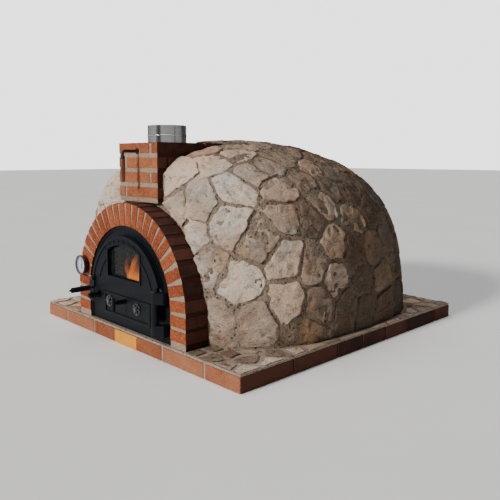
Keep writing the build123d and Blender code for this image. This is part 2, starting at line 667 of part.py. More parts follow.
# ---------------------------------------------------------------- upper door
STRAP_X = 176               # where the hinge strap meets the leaf
STRAP_FOOT_Z, STRAP_TOP_Z = 122.5, 191.5
WINDOW_BEAD = 7
SCREW_SPOTS = [(-113, 262), (-113, 305), (113, 262), (113, 305), (-60, 228), (60, 228)]
with BuildPart() as upper_door:
    with BuildSketch(front_plane(LEAF_BACK_Y)):
        add(segment_outline(LEAF_R, LEAF_FOOT_Z))
        with Locations((198, LEAF_FOOT_Z - 5)):
            Rectangle(70, 65, align=(Align.MIN, Align.MIN), mode=Mode.SUBTRACT)
        with Locations((STRAP_X, LEAF_FOOT_Z - 5)):
            Rectangle(90, STRAP_TOP_Z - LEAF_FOOT_Z + 5.5, align=(Align.MIN, Align.MIN), mode=Mode.SUBTRACT)
        add(window_outline(0), mode=Mode.SUBTRACT)
    extrude(amount=LEAF_BACK_Y - LEAF_Y)
    with BuildSketch(front_plane(LEAF_Y)):
        add(segment_outline(LEAF_R, LEAF_FOOT_Z))
        add(segment_outline(LEAF_R - 12, LEAF_FOOT_Z - 1), mode=Mode.SUBTRACT)
        with Locations((STRAP_X, LEAF_FOOT_Z - 5)):
            Rectangle(92, 65, align=(Align.MIN, Align.MIN), mode=Mode.SUBTRACT)
        add(window_outline(WINDOW_BEAD))
        add(window_outline(0), mode=Mode.SUBTRACT)
    extrude(amount=3)
    with BuildSketch(front_plane(LEAF_Y)):
        add(segment_outline(182, 228))
        add(segment_outline(172, 227), mode=Mode.SUBTRACT)
        add(window_outline(WINDOW_BEAD), mode=Mode.SUBTRACT)
    extrude(amount=2.5)
    with BuildSketch(front_plane(LEAF_Y)):
        for angle in range(54, 127, 9):
            spot = (205 * cos(radians(angle)), SPRING_Z + 205 * sin(radians(angle)))
            with Locations(Location(spot, angle)):
                RegularPolygon(6, 4)
    extrude(amount=2)
    with BuildSketch(front_plane(LEAF_BACK_Y)):
        with Locations(*SCREW_SPOTS):
            Circle(2)
    extrude(amount=7, mode=Mode.SUBTRACT)
    with BuildSketch(front_plane(LEAF_BACK_Y)):
        with Locations((LATCH_X, LATCH_Z)):
            Circle(4)
    extrude(amount=30, mode=Mode.SUBTRACT)
save(upper_door, "upper_door")

with BuildPart() as hinge_strap:
    with BuildSketch(Plane.XY.offset(STRAP_FOOT_Z)):
        Polygon((STRAP_X, LEAF_BACK_Y), (STRAP_X, LEAF_Y), (201, -625), (214, -612), (206, -601),
                (190, LEAF_BACK_Y))
        with Locations((HINGE_X, HINGE_Y)):
            Circle(12)
        with Locations((HINGE_X, HINGE_Y)):
            Circle(PIN_R + SHAFT_PLAY, mode=Mode.SUBTRACT)
    extrude(amount=STRAP_TOP_Z - STRAP_FOOT_Z)
    with BuildSketch(front_plane(LEAF_BACK_Y)):
        Polygon((166, STRAP_FOOT_Z + 4), (STRAP_X, STRAP_FOOT_Z + 4), (STRAP_X, LEAF_FOOT_Z), (166, LEAF_FOOT_Z))
    extrude(amount=LEAF_BACK_Y - LEAF_Y)
save(hinge_strap, "hinge_strap")

with BuildPart() as window_glass:
    with BuildSketch(front_plane(LEAF_BACK_Y + 4)):
        add(window_outline(5))
    extrude(amount=4)
save(window_glass, "window_glass")

with BuildPart() as glass_retainer:
    with BuildSketch(front_plane(LEAF_BACK_Y + 7)):
        add(window_outline(9))
        with Locations(*SCREW_SPOTS):
            Circle(7)
        add(window_outline(0), mode=Mode.SUBTRACT)
        with Locations(*SCREW_SPOTS):
            Circle(2, mode=Mode.SUBTRACT)
    extrude(amount=3)
save(glass_retainer, "glass_retainer")

with BuildPart() as retainer_screws:
    for spot in SCREW_SPOTS:
        with BuildSketch(front_plane(LEAF_BACK_Y + 7)):
            with Locations(spot):
                Circle(2)
        extrude(amount=13.5)
        with BuildSketch(front_plane(LEAF_BACK_Y + 7)):
            with Locations(spot):
                Circle(4.2)
        extrude(amount=-3)
save(retainer_screws, "retainer_screws")

PLATE_BACK_Y, PLATE_FRONT_Y = -605.6, -608.6
HOOK_REACH = KEEPER_R + 3   # half the slot that drops over the keeper
HOOK_BACK_X = KEEPER_X - HOOK_REACH - 11
HOOK_FOOT_Z = KEEPER_Z - HOOK_REACH - 9
with BuildPart() as latch_plate:
    with BuildSketch(front_plane(PLATE_BACK_Y)):
        Polygon((HOOK_BACK_X, HOOK_FOOT_Z), (LATCH_X + 10, HOOK_FOOT_Z), (LATCH_X + 10, LATCH_Z + 10),
                (LATCH_X - 10, LATCH_Z + 10), (HOOK_BACK_X, LATCH_Z - 10))
        with Locations((HOOK_BACK_X + 11, KEEPER_Z)):
            Rectangle(60, 2 * HOOK_REACH, align=(Align.MIN, Align.CENTER), mode=Mode.SUBTRACT)
        with Locations((LATCH_X, LATCH_Z)):
            Circle(4 + SHAFT_PLAY, mode=Mode.SUBTRACT)
    extrude(amount=PLATE_BACK_Y - PLATE_FRONT_Y)
save(latch_plate, "latch_plate")

with BuildPart() as latch_bolt:
    with BuildSketch(front_plane(LEAF_BACK_Y)):
        with Locations((LATCH_X, LATCH_Z)):
            Circle(4)
    extrude(amount=22)
    with BuildSketch(front_plane(PLATE_FRONT_Y - 0.5)):
        with Locations((LATCH_X, LATCH_Z)):
            RegularPolygon(7.5, 6)
    extrude(amount=5)
save(latch_bolt, "latch_bolt")

HANDLE_X, HANDLE_Z = LATCH_X, 180
HANDLE_TIP_Y = -702
with BuildPart() as latch_handle_rod:
    with BuildSketch(front_plane(PLATE_FRONT_Y)):
        with Locations((HANDLE_X, HANDLE_Z)):
            Circle(4)
    extrude(amount=PLATE_FRONT_Y - HANDLE_TIP_Y)
save(latch_handle_rod, "latch_handle_rod")

COIL_R, COIL_WIRE, COIL_TURNS, COIL_Y = 8, 4, 19, -622
with BuildPart() as latch_handle_coil:
    with BuildSketch(Plane.YZ.offset(HANDLE_X)):
        for k in range(COIL_TURNS):
            with Locations((COIL_Y - k * COIL_WIRE, HANDLE_Z + COIL_R + 0.05)):
                Circle(COIL_WIRE / 2 + 0.1)
        with Locations((COIL_Y - (COIL_TURNS - 1) / 2 * COIL_WIRE, HANDLE_Z + COIL_R)):
            Rectangle((COIL_TURNS - 0.4) * COIL_WIRE, 1.6)
    revolve(axis=Axis((HANDLE_X, 0, HANDLE_Z), (0, 1, 0)))
save(latch_handle_coil, "latch_handle_coil")

# ---------------------------------------------------------------- draught door
FLAP_MID_X = (FLAP_LEFT + FLAP_RIGHT) / 2
FLAP_WIDE, FLAP_TALL = FLAP_RIGHT - FLAP_LEFT, FLAP_TOP_Z - FLAP_FOOT_Z
FLAP_MID_Z = (FLAP_FOOT_Z + FLAP_TOP_Z) / 2
VENT_RING_R, VENT_HOLE_R, VENT_HOLES = 12.5, 4, 6
with BuildPart() as lower_door:
    with BuildSketch(front_plane(FLAP_BACK_Y)):
        with Locations((FLAP_MID_X, FLAP_MID_Z)):
            Rectangle(FLAP_WIDE, FLAP_TALL)
        for x in VENT_XS:
            with Locations((x, VENT_Z)):
                with PolarLocations(VENT_RING_R, VENT_HOLES):
                    Circle(VENT_HOLE_R, mode=Mode.SUBTRACT)
                Circle(3, mode=Mode.SUBTRACT)
        with Locations((0, TURN_Z)):
            Circle(4 + SHAFT_PLAY, mode=Mode.SUBTRACT)
    extrude(amount=FLAP_BACK_Y - FLAP_Y)
    with BuildSketch(front_plane(FLAP_Y)):
        with Locations((FLAP_MID_X, FLAP_MID_Z)):
            Rectangle(FLAP_WIDE, FLAP_TALL)
            Rectangle(FLAP_WIDE - 20, FLAP_TALL - 20, mode=Mode.SUBTRACT)
    extrude(amount=4)
    chamfer(lower_door.faces().sort_by(Axis.Y)[0].outer_wire().edges(), 2)
    for x, inward in ((FLAP_LEFT, 1), (FLAP_RIGHT, -1)):
        with BuildSketch(Plane.YZ.offset(x)):
            with Locations((FLAP_HINGE_Y, FLAP_HINGE_Z)):
                Circle(3)
        extrude(amount=inward * 12, mode=Mode.SUBTRACT)
save(lower_door, "lower_door")

with BuildPart() as flap_hinge_pins:
    for x, outward in ((FLAP_LEFT, -1), (FLAP_RIGHT, 1)):
        with BuildSketch(Plane.YZ.offset(x - outward * 12)):
            with Locations((FLAP_HINGE_Y, FLAP_HINGE_Z)):
                Circle(3)
        extrude(amount=outward * 22)
save(flap_hinge_pins, "flap_hinge_pins")

BAR_BELOW, BAR_ABOVE = 28, 18   # the bar hangs low, so the leaf above swings out over it
with BuildPart() as turn_handle:
    with BuildSketch(front_plane(-564)):
        with Locations((0, TURN_Z)):
            Circle(4)
    extrude(amount=80)
    with BuildSketch(front_plane(FLAP_Y - 0.4)):
        with Locations((0, TURN_Z)):
            Circle(8)
    extrude(amount=38)
    with BuildSketch(Plane.XY.offset(TURN_Z - BAR_BELOW)):
        with Locations((0, -644)):
            Circle(6)
    extrude(amount=BAR_BELOW + BAR_ABOVE)
save(turn_handle, "turn_handle")

with BuildPart() as turn_handle_catch:
    with BuildSketch(front_plane(-564)):
        with Locations((-6, TURN_Z)):
            Rectangle(31, 12, align=(Align.MIN, Align.CENTER))
        with Locations((0, TURN_Z)):
            Circle(4, mode=Mode.SUBTRACT)
    extrude(amount=4)
save(turn_handle_catch, "turn_handle_catch")

VENT_R = 21
for side, x in zip(("left", "right"), VENT_XS):
    with BuildPart() as vent_rosette:
        with BuildSketch(front_plane(FLAP_Y - 0.4)):
            with Locations((x, VENT_Z)):
                Circle(VENT_R)
                with PolarLocations(VENT_RING_R, VENT_HOLES, start_angle=30):
                    Circle(VENT_HOLE_R, mode=Mode.SUBTRACT)
                Circle(3 + SHAFT_PLAY, mode=Mode.SUBTRACT)
        extrude(amount=2.5)
        with BuildSketch(front_plane(FLAP_Y - 2.9)):
            with Locations((x, VENT_Z)):
                with PolarLocations(13.5, VENT_HOLES):
                    Rectangle(13, 3)
                Circle(8)
                Circle(3 + SHAFT_PLAY, mode=Mode.SUBTRACT)
        extrude(amount=3)
    save(vent_rosette, f"vent_rosette_{side}")

with BuildPart() as vent_bolts:
    for x in VENT_XS:
        with BuildSketch(front_plane(FLAP_BACK_Y)):
            with Locations((x, VENT_Z)):
                Circle(3)
        extrude(amount=17)
        with BuildSketch(front_plane(FLAP_Y - 6.4)):
            with Locations((x, VENT_Z)):
                Circle(6)
        extrude(amount=3.5)
save(vent_bolts, "vent_bolts")

# ---------------------------------------------------------------- thermometer
GAUGE_R = 37.5
with BuildPart() as thermometer_case:
    with BuildSketch(front_plane(ARCH_FACE_Y - 0.5)):
        with Locations((GAUGE_X, GAUGE_Z)):
            Circle(GAUGE_R - 2)
    extrude(amount=19.5)
    with BuildSketch(front_plane(ARCH_FACE_Y - 12)):
        with Locations((GAUGE_X, GAUGE_Z)):
            Circle(GAUGE_R - 3.5)
    extrude(amount=20, mode=Mode.SUBTRACT)
save(thermometer_case, "thermometer_case")

with BuildPart() as thermometer_stem:
    with BuildSketch(front_plane(-505)):
        with Locations((GAUGE_X, GAUGE_Z)):
            Circle(4)
    extrude(amount=-505 - ARCH_FACE_Y + 0.5)
save(thermometer_stem, "thermometer_stem")

with BuildPart() as thermometer_dial:
    with BuildSketch(front_plane(ARCH_FACE_Y - 12)):
        with Locations((GAUGE_X, GAUGE_Z)):
            Circle(GAUGE_R - 3.6)
            Circle(1.5 + SHAFT_PLAY, mode=Mode.SUBTRACT)
    extrude(amount=1.5)
save(thermometer_dial, "thermometer_dial")

with BuildPart() as thermometer_needle:
    with BuildSketch(front_plane(ARCH_FACE_Y - 14.5)):
        with Locations((GAUGE_X, GAUGE_Z)):
            Circle(4)
        Polygon((GAUGE_X - 2, GAUGE_Z - 9), (GAUGE_X + 2, GAUGE_Z - 9), (GAUGE_X + 0.6, GAUGE_Z + 27),
                (GAUGE_X - 0.6, GAUGE_Z + 27))
        with Locations((GAUGE_X, GAUGE_Z - 12)):
            Circle(4.6)
    extrude(amount=1)
    with BuildSketch(front_plane(ARCH_FACE_Y - 12.3)):
        with Locations((GAUGE_X, GAUGE_Z)):
            Circle(1.5)
    extrude(amount=2.2)
save(thermometer_needle, "thermometer_needle")

with BuildPart() as thermometer_glass:
    with BuildSketch(front_plane(ARCH_FACE_Y - 17.5)):
        with Locations((GAUGE_X, GAUGE_Z)):
            Circle(GAUGE_R - 3.6)
    extrude(amount=2)
save(thermometer_glass, "thermometer_glass")

with BuildPart() as thermometer_bezel:
    with BuildSketch(front_plane(ARCH_FACE_Y - 16)):
        with Locations((GAUGE_X, GAUGE_Z)):
            Circle(GAUGE_R)
            Circle(GAUGE_R - 2, mode=Mode.SUBTRACT)
    extrude(amount=6)
    with BuildSketch(front_plane(ARCH_FACE_Y - 20)):
        with Locations((GAUGE_X, GAUGE_Z)):
            Circle(GAUGE_R)
            Circle(GAUGE_R - 5, mode=Mode.SUBTRACT)
    extrude(amount=2)
save(thermometer_bezel, "thermometer_bezel")

# ---------------------------------------------------------------- blank plate on the front edging
with BuildPart() as edge_plate:
    with BuildSketch(front_plane(-HALF)):
        with Locations((3, EDGE_Z / 2)):
            Rectangle(140, EDGE_Z - 2)
    extrude(amount=1.5)
save(edge_plate, "edge_plate")
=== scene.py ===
# %% [markdown]
# # A wood fired pizza oven in stone, brick and iron
#
# The oven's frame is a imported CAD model: every part has its true size and place, and the parts that move
# are joined. This script gives that frame its looks. Stones, render, bricks and flames are new meshes worked
# out with numpy, and everything else keeps its CAD mesh and gets a material made of nodes.

# %% Load the frame
import json
import math

import bmesh
import bpy
import numpy as np
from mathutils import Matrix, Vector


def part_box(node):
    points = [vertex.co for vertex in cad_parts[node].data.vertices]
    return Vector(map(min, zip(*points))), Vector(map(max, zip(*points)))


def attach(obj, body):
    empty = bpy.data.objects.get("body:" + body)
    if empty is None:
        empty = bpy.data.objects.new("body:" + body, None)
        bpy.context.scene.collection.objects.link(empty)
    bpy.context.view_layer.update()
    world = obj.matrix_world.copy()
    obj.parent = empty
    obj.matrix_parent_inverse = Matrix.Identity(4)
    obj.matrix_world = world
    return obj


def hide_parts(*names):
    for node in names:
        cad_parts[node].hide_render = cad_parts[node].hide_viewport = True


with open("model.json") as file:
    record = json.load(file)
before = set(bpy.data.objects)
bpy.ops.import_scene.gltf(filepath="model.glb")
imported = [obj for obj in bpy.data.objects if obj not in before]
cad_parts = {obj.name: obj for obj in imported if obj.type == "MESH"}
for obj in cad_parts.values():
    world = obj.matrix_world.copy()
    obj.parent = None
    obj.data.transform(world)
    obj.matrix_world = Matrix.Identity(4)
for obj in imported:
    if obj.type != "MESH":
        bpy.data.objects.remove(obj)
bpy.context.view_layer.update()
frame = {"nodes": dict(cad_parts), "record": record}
nodes = frame["nodes"]
ROOT = "oven"
MM = 0.001

# %% [markdown]
# ## Small tools
#
# Rough masonry needs noise that is the same on every run. Value noise does that: a fixed random number
# belongs to each corner of a grid of cubes, and a point takes the smooth blend of the eight numbers round
# it. Adding a few layers, each half the size and half the height of the last, gives stone-like relief.


# %% Noise
def corner_value(i, j, k, seed):
    """A fixed random number in -1..1 for each corner of a cubic grid, by integer mixing."""
    mixed = (i * 73856093) ^ (j * 19349663) ^ (k * 83492791) ^ (seed * 2654435761)
    mixed = (mixed ^ (mixed >> 13)) * 1274126177
    mixed = (mixed ^ (mixed >> 16)) & 0xFFFFFF
    return mixed / 0x7FFFFF - 1.0


def noise(points, size, seed=0, layers=1):
    """Value noise at each row of points: cubes of this size, then halved for each further layer."""
    total = np.zeros(len(points))
    for layer in range(layers):
        place = np.asarray(points) / (size / 2 ** layer) + 17.3 * layer
        cell = np.floor(place).astype(np.int64)
        part = place - cell
        part = part * part * (3 - 2 * part)
        blend = np.zeros(len(place))
        for corner in np.ndindex(2, 2, 2):
            weight = np.prod(np.where(np.array(corner) == 1, part, 1 - part), axis=1)
            i, j, k = (cell + np.array(corner)).T
            blend += weight * corner_value(i, j, k, seed + layer)
        total += blend / 2 ** layer
    return total


def smooth_step(value, low, high):
    """0 below low, 1 above high, and a smooth curve between them."""
    share = np.clip((value - low) / (high - low), 0, 1)
    return share * share * (3 - 2 * share)


# %% [markdown]
# A mesh is an array of points and an array of faces. Most pieces here are a grid of points, so one helper
# writes the faces of a grid, and another puts points and faces into an object that rides on its body.


# %% Meshes
def grid_faces(rows, columns, closed=True):
    """Four-sided faces between the points of a grid, whose rows run round when it is closed."""
    row, column = np.meshgrid(np.arange(rows - 1), np.arange(columns if closed else columns - 1), indexing="ij")
    beside = (column + 1) % columns
    here, there = row * columns, (row + 1) * columns
    return np.stack([here + column, here + beside, there + beside, there + column], axis=-1).reshape(-1, 4)


def new_piece(name, points, faces, body, material, smooth=True, tint=None):
    """An object from points in metres and faces, riding on a body. tint is one number for each point."""
    mesh = bpy.data.meshes.new(name)
    mesh.from_pydata(np.asarray(points, float).tolist(), [], [list(map(int, face)) for face in faces])
    mesh.update()
    if tint is not None:
        mesh.attributes.new("tint", "FLOAT", "POINT").data.foreach_set("value", np.asarray(tint, np.float32))
    mesh.polygons.foreach_set("use_smooth", [smooth] * len(mesh.polygons))
    piece = bpy.data.objects.new(name, mesh)
    bpy.context.scene.collection.objects.link(piece)
    piece.data.materials.append(material)
    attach(piece, body)
    return piece


def islands(points, edges):
    """A number for each point that is the same within each separate solid."""
    label = np.arange(len(points))
    while True:
        lowest = np.minimum(label[edges[:, 0]], label[edges[:, 1]])
        before = label.copy()
        np.minimum.at(label, edges[:, 0], lowest)
        np.minimum.at(label, edges[:, 1], lowest)
        label = label[label]
        if (label == before).all():
            return np.unique(label, return_inverse=True)[1]


def merged_copy(node):
    """A bmesh copy of a CAD node with its loose triangles joined into faces."""
    work = bmesh.new()
    work.from_mesh(nodes[node].data)
    bmesh.ops.remove_doubles(work, verts=work.verts, dist=2e-5)
    bmesh.ops.dissolve_limit(work, angle_limit=math.radians(1), verts=work.verts, edges=work.edges)
    return work


def mesh_arrays(mesh):
    """The points and the edges of a mesh as arrays."""
    points = np.empty(len(mesh.vertices) * 3)
    mesh.vertices.foreach_get("co", points)
    edges = np.empty(len(mesh.edges) * 2, int)
    mesh.edges.foreach_get("vertices", edges)
    return points.reshape(-1, 3), edges.reshape(-1, 2)


# %% [markdown]
# ## Materials
#
# A material is a sheet of nodes. The Wire class wraps one socket, so that shader maths reads as plain
# expressions, and Finish.add makes any other node. Patterns read Object coordinates: every piece stands in
# the oven's own metres, so a 3 mm speckle is 3 mm on a brick and on a stone.


# %% Wires and finishes
class Wire:
    """A number travelling between nodes: arithmetic on it adds Math nodes."""

    def __init__(self, finish, socket):
        self.finish, self.socket = finish, socket

    def _maths(self, operation, first, second):
        return self.finish.add("ShaderNodeMath", {"operation": operation}, {0: first, 1: second})

    def __add__(self, other):
        return self._maths("ADD", self, other)

    def __sub__(self, other):
        return self._maths("SUBTRACT", self, other)

    def __mul__(self, other):
        return self._maths("MULTIPLY", self, other)

    def __rsub__(self, other):
        return self._maths("SUBTRACT", other, self)

    __radd__ = __add__
    __rmul__ = __mul__

    def fade(self, low, high):
        """0 below low, 1 above high, and a smooth curve between."""
        return self.finish.add("ShaderNodeMapRange", {"interpolation_type": "SMOOTHSTEP"},
                               {"Value": self, "From Min": low, "From Max": high})


class Finish:
    """A material with one Principled shader, and the nodes that feed it."""

    def __init__(self, name, **constants):
        self.material = bpy.data.materials.new(name)
        self.material.use_nodes = True
        self.tree = self.material.node_tree
        self.shader = self.tree.nodes["Principled BSDF"]
        self.output = self.tree.nodes["Material Output"]
        for socket, value in constants.items():
            self.shader.inputs[socket.replace("_", " ")].default_value = value
        self.place = self.add("ShaderNodeTexCoord", out="Object")

    def add(self, kind, settings=None, values=None, out=0):
        node = self.tree.nodes.new(kind)
        for key, value in (settings or {}).items():
            if key == "stops":
                ramp = node.color_ramp
                while len(ramp.elements) < len(value):
                    ramp.elements.new(0.5)
                for element, (position, colour) in zip(ramp.elements, value):
                    element.position = position
                    element.color = (*colour, 1)
            else:
                setattr(node, key, value)
        for key, value in (values or {}).items():
            if isinstance(value, Wire):
                self.tree.links.new(value.socket, node.inputs[key])
            else:
                node.inputs[key].default_value = value
        return Wire(self, node.outputs[out])

    def noise(self, size, detail=4, roughness=0.6, stretch=(1, 1, 1), offset=0.0):
        """Cloudy noise whose lumps are about this many metres across."""
        place = self.add("ShaderNodeMapping", values={"Vector": self.place, "Scale": stretch,
                                                      "Location": (offset, offset, offset)})
        return self.add("ShaderNodeTexNoise", values={"Vector": place, "Scale": 0.5 / size, "Detail": detail,
                                                      "Roughness": roughness})

    def cells(self, size, feature="F1", out="Distance"):
        return self.add("ShaderNodeTexVoronoi", {"feature": feature},
                        {"Vector": self.place, "Scale": 1 / size}, out)

    def ramp(self, value, *stops):
        return self.add("ShaderNodeValToRGB", {"stops": stops}, {"Fac": value}, "Color")

    def mix(self, factor, first, second, blend="MIX"):
        """One colour into another by a factor."""
        return self.add("ShaderNodeMix", {"data_type": "RGBA", "blend_type": blend},
                        {0: factor, 6: first if isinstance(first, Wire) else (*first, 1),
                         7: second if isinstance(second, Wire) else (*second, 1)}, 2)

    def scaled(self, colour, red, green, blue):
        """A colour multiplied by another, which makes it darker, paler, warmer or colder."""
        return self.mix(1.0, colour, (red, green, blue), "MULTIPLY")

    def tint(self):
        return self.add("ShaderNodeAttribute", {"attribute_name": "tint"}, out="Fac")

    def facing(self, axis):
        """How far the surface faces along x, y or z."""
        normal = self.add("ShaderNodeNewGeometry", out="Normal")
        return self.add("ShaderNodeSeparateXYZ", values={0: normal}, out=axis)

    def wear(self, colour, rough=None, height=None, depth=0.001, metal=None):
        """Feeds the shader: colour, roughness, and a bump whose full height is depth metres."""
        self.tree.links.new(colour.socket, self.shader.inputs["Base Color"])
        if rough is not None:
            self.tree.links.new(rough.socket, self.shader.inputs["Roughness"])
        if metal is not None:
            self.tree.links.new(metal.socket, self.shader.inputs["Metallic"])
        if height is not None:
            bump = self.add("ShaderNodeBump", values={"Height": height, "Distance": depth, "Strength": 1.0})
            self.tree.links.new(bump.socket, self.shader.inputs["Normal"])
        return self.material


# %% [markdown]
# Fired brick is never one colour: each brick has its own shade, the clay is cloudy, and sand and grog show as
# pale and dark specks. Every face that does not look to the front, toward the key light, gets a painted shade
# of dark brown, and only the front face is orange.


# %% Brick
# The dark brown of the painted shade on brick and joint faces that do not look to the front.
SIDE_SHADE_BROWN = (0.030, 0.010, 0.006)


def brick_finish(name, warm, pale, specks):
    finish = Finish(name, Roughness=0.88, Specular_IOR_Level=0.25)
    shade = finish.tint()
    clouds = finish.noise(0.03, detail=5, roughness=0.65)
    fine = finish.noise(0.003, detail=3, roughness=0.75)
    face = finish.mix((clouds * 1.3 + shade * 0.75 - 0.6).fade(0.0, 1.0), warm, pale)
    face = finish.mix(fine.fade(0.55, 0.70) * specks, face, tuple(1.5 * part + 0.06 for part in pale))
    face = finish.mix(fine.fade(0.46, 0.34) * specks, face, tuple(0.35 * part for part in warm))
    # A painted shade: every face that does not look to the front, toward the key light, is dark brown.
    side = finish.mix((clouds + shade * 0.5).fade(0.45, 1.0), SIDE_SHADE_BROWN, tuple(3.2 * part for part in SIDE_SHADE_BROWN))
    front = (finish.facing("Y") * -1).fade(0.35, 0.75)
    colour = finish.mix(front, side, face)
    return finish.wear(colour, height=clouds * 0.6 + fine * 0.6, depth=0.004)


arch_brick = brick_finish("arch_brick", (0.215, 0.042, 0.012), (0.33, 0.085, 0.028), 0.8)
edge_brick = brick_finish("edge_brick", (0.23, 0.062, 0.022), (0.36, 0.15, 0.075), 0.6)
chimney_brick = brick_finish("chimney_brick", (0.24, 0.055, 0.022), (0.37, 0.13, 0.055), 0.6)
print("brick finishes: 3")


# %% [markdown]
# Mortar and render are sand held by lime and cement. The joints of the arch are struck smooth and pale, with a
# painted shade on their faces that do not look to the front; the render between the stones was pushed in by
# hand, so it is grainy and pitted, with a painted shade in its pits, and a further painted shade darkens it
# toward the flanks and the back.


# %% Mortar and render
def mortar_finish(name, dark, light, grain, depth, painted_side_shade=False, shaded=False):
    finish = Finish(name, Roughness=0.95, Specular_IOR_Level=0.2)
    clouds = finish.noise(0.05, detail=4)
    sand = finish.noise(grain, detail=3, roughness=0.75)
    lumps = finish.noise(grain * 4, detail=4, roughness=0.7, offset=3.1)
    pits = finish.cells(grain * 5).fade(0.32, 0.12)
    colour = finish.ramp(clouds * 0.4 + sand * 0.45 + lumps * 0.35 - 0.07, (0.30, dark), (0.74, light))
    colour = finish.mix(sand.fade(0.45, 0.33) * 0.7, colour, tuple(0.25 * part for part in dark))
    # A painted shade in the pits, where the bump also sinks the render.
    colour = finish.mix(pits * 0.6, colour, tuple(0.3 * part for part in dark))
    if painted_side_shade:
        # A painted shade: faces that do not look to the front get the dark brown of the bricks' sides.
        front = (finish.facing("Y") * -1).fade(0.35, 0.75)
        colour = finish.mix(front, tuple(1.6 * part for part in SIDE_SHADE_BROWN), colour)
    if shaded:
        # shaded: a painted shade, which darkens the render where its tint is low, on the flanks and the back.
        colour = finish.mix(finish.tint(), finish.scaled(colour, 0.16, 0.14, 0.125), colour)
    return finish.wear(colour, height=sand * 0.5 + lumps * 0.9 - pits * 0.5, depth=depth)


joint_mortar = mortar_finish("joint_mortar", (0.24, 0.165, 0.11), (0.42, 0.32, 0.24), 0.002, 0.002,
                             painted_side_shade=True)
ledge_mortar = mortar_finish("ledge_mortar", (0.20, 0.145, 0.105), (0.46, 0.37, 0.29), 0.003, 0.006)
dome_mortar = mortar_finish("dome_mortar", (0.14, 0.098, 0.068), (0.46, 0.36, 0.27), 0.0032, 0.014,
                            shaded=True)
concrete = mortar_finish("slab_concrete", (0.18, 0.165, 0.15), (0.32, 0.30, 0.28), 0.003, 0.002)


# %% [markdown]
# The facing is split field stone. Each stone has a tint between grey brown and cream, partly its own and partly
# a painted shade that grows toward the flanks and the back, with cloudy stains of ochre, fine grain, and a
# painted shade where its face dips.


# %% Stone
def stone_finish(name, strength):
    finish = Finish(name, Roughness=0.85, Specular_IOR_Level=0.25)
    shade = finish.tint()
    clouds = finish.noise(0.06, detail=7, roughness=0.66)
    hue = finish.noise(0.09, detail=3, offset=5.3)
    stain = finish.noise(0.10, detail=5, roughness=0.65, offset=7.7)
    grain = finish.noise(0.0032, detail=4, roughness=0.75)
    crags = finish.noise(0.014, detail=7, roughness=0.74, stretch=(1, 1, 1.8), offset=1.9)
    # The tint carries the painted shade of the flanks and the back, and the ochre stains darken with it.
    colour = finish.ramp(shade + (clouds - 0.5) * 0.6,
                         (0.0, (0.070, 0.048, 0.034)), (0.25, (0.120, 0.082, 0.056)),
                         (0.5, (0.20, 0.14, 0.098)), (0.72, (0.42, 0.295, 0.21)),
                         (0.88, (0.74, 0.545, 0.41)), (1.0, (0.90, 0.72, 0.57)))
    colour = finish.mix(hue.fade(0.50, 0.66) * 0.8, colour, finish.scaled(colour, 0.84, 0.98, 1.12))
    colour = finish.mix(hue.fade(0.48, 0.34) * 0.8, colour, finish.scaled(colour, 1.16, 0.96, 0.86))
    colour = finish.mix(stain.fade(0.54, 0.66) * 0.55, colour,
                        finish.mix(shade, (0.15, 0.080, 0.030), (0.50, 0.30, 0.14)))
    # Where the crags dip, a painted shade darkens the face, as deep as strength says.
    colour = finish.mix(crags.fade(0.47, 0.36) * strength, colour, finish.scaled(colour, 0.30, 0.27, 0.24))
    colour = finish.mix(grain.fade(0.50, 0.66) * 0.5, colour, finish.scaled(colour, 1.55, 1.55, 1.55))
    return finish.wear(colour, height=clouds * 0.8 + crags * 1.3 + grain * 0.35, depth=0.016)


field_stone = stone_finish("field_stone", 0.7)
flag_stone = stone_finish("flag_stone", 1.0)


# %% [markdown]
# The doors are grey iron castings under black stove paint: nearly matt, a little blue, with the faint
# pebbling of the sand mould and paler rubbed spots. Steel, brass and glass parts are simpler.


# %% Metals, wood and glass
def iron_finish(name, dark, light, rough):
    finish = Finish(name, Specular_IOR_Level=0.12)
    cast = finish.noise(0.0022, detail=3, roughness=0.7)
    patches = finish.noise(0.06, detail=4)
    colour = finish.ramp(patches * 0.7 + cast * 0.3, (0.3, dark), (0.75, light))
    return finish.wear(colour, rough=patches * 0.25 + rough, height=cast, depth=0.0006)


def metal_finish(name, dark, light, rough, metallic=1.0, stretch=(1, 1, 1)):
    finish = Finish(name, Metallic=metallic)
    brushed = finish.noise(0.004, detail=4, roughness=0.7, stretch=stretch)
    patches = finish.noise(0.03, detail=3)
    colour = finish.ramp(brushed * 0.5 + patches * 0.5, (0.3, dark), (0.7, light))
    return finish.wear(colour, rough=brushed * 0.22 + rough, height=brushed, depth=0.00025)


door_iron = iron_finish("door_iron", (0.0035, 0.0050, 0.0075), (0.0090, 0.0120, 0.0160), 0.36)
dark_steel = metal_finish("dark_steel", (0.012, 0.012, 0.013), (0.035, 0.035, 0.037), 0.38, metallic=0.5)
polished = Finish("stainless", Metallic=0.9, Roughness=0.16)
# Painted reflections: the stainless colour runs in stretched bands of black, grey and white.
painted_reflection_bands = polished.noise(0.022, detail=2, roughness=0.5, stretch=(1, 1, 0.03))
stainless = polished.wear(polished.ramp(painted_reflection_bands, (0.40, (0.03, 0.03, 0.032)), (0.48, (0.30, 0.30, 0.31)),
                                        (0.56, (0.97, 0.97, 0.98))))
bright_steel = metal_finish("bright_steel", (0.05, 0.05, 0.055), (0.26, 0.26, 0.27), 0.3)
case_enamel = metal_finish("case_enamel", (0.020, 0.006, 0.004), (0.045, 0.014, 0.009), 0.3, metallic=0.1)

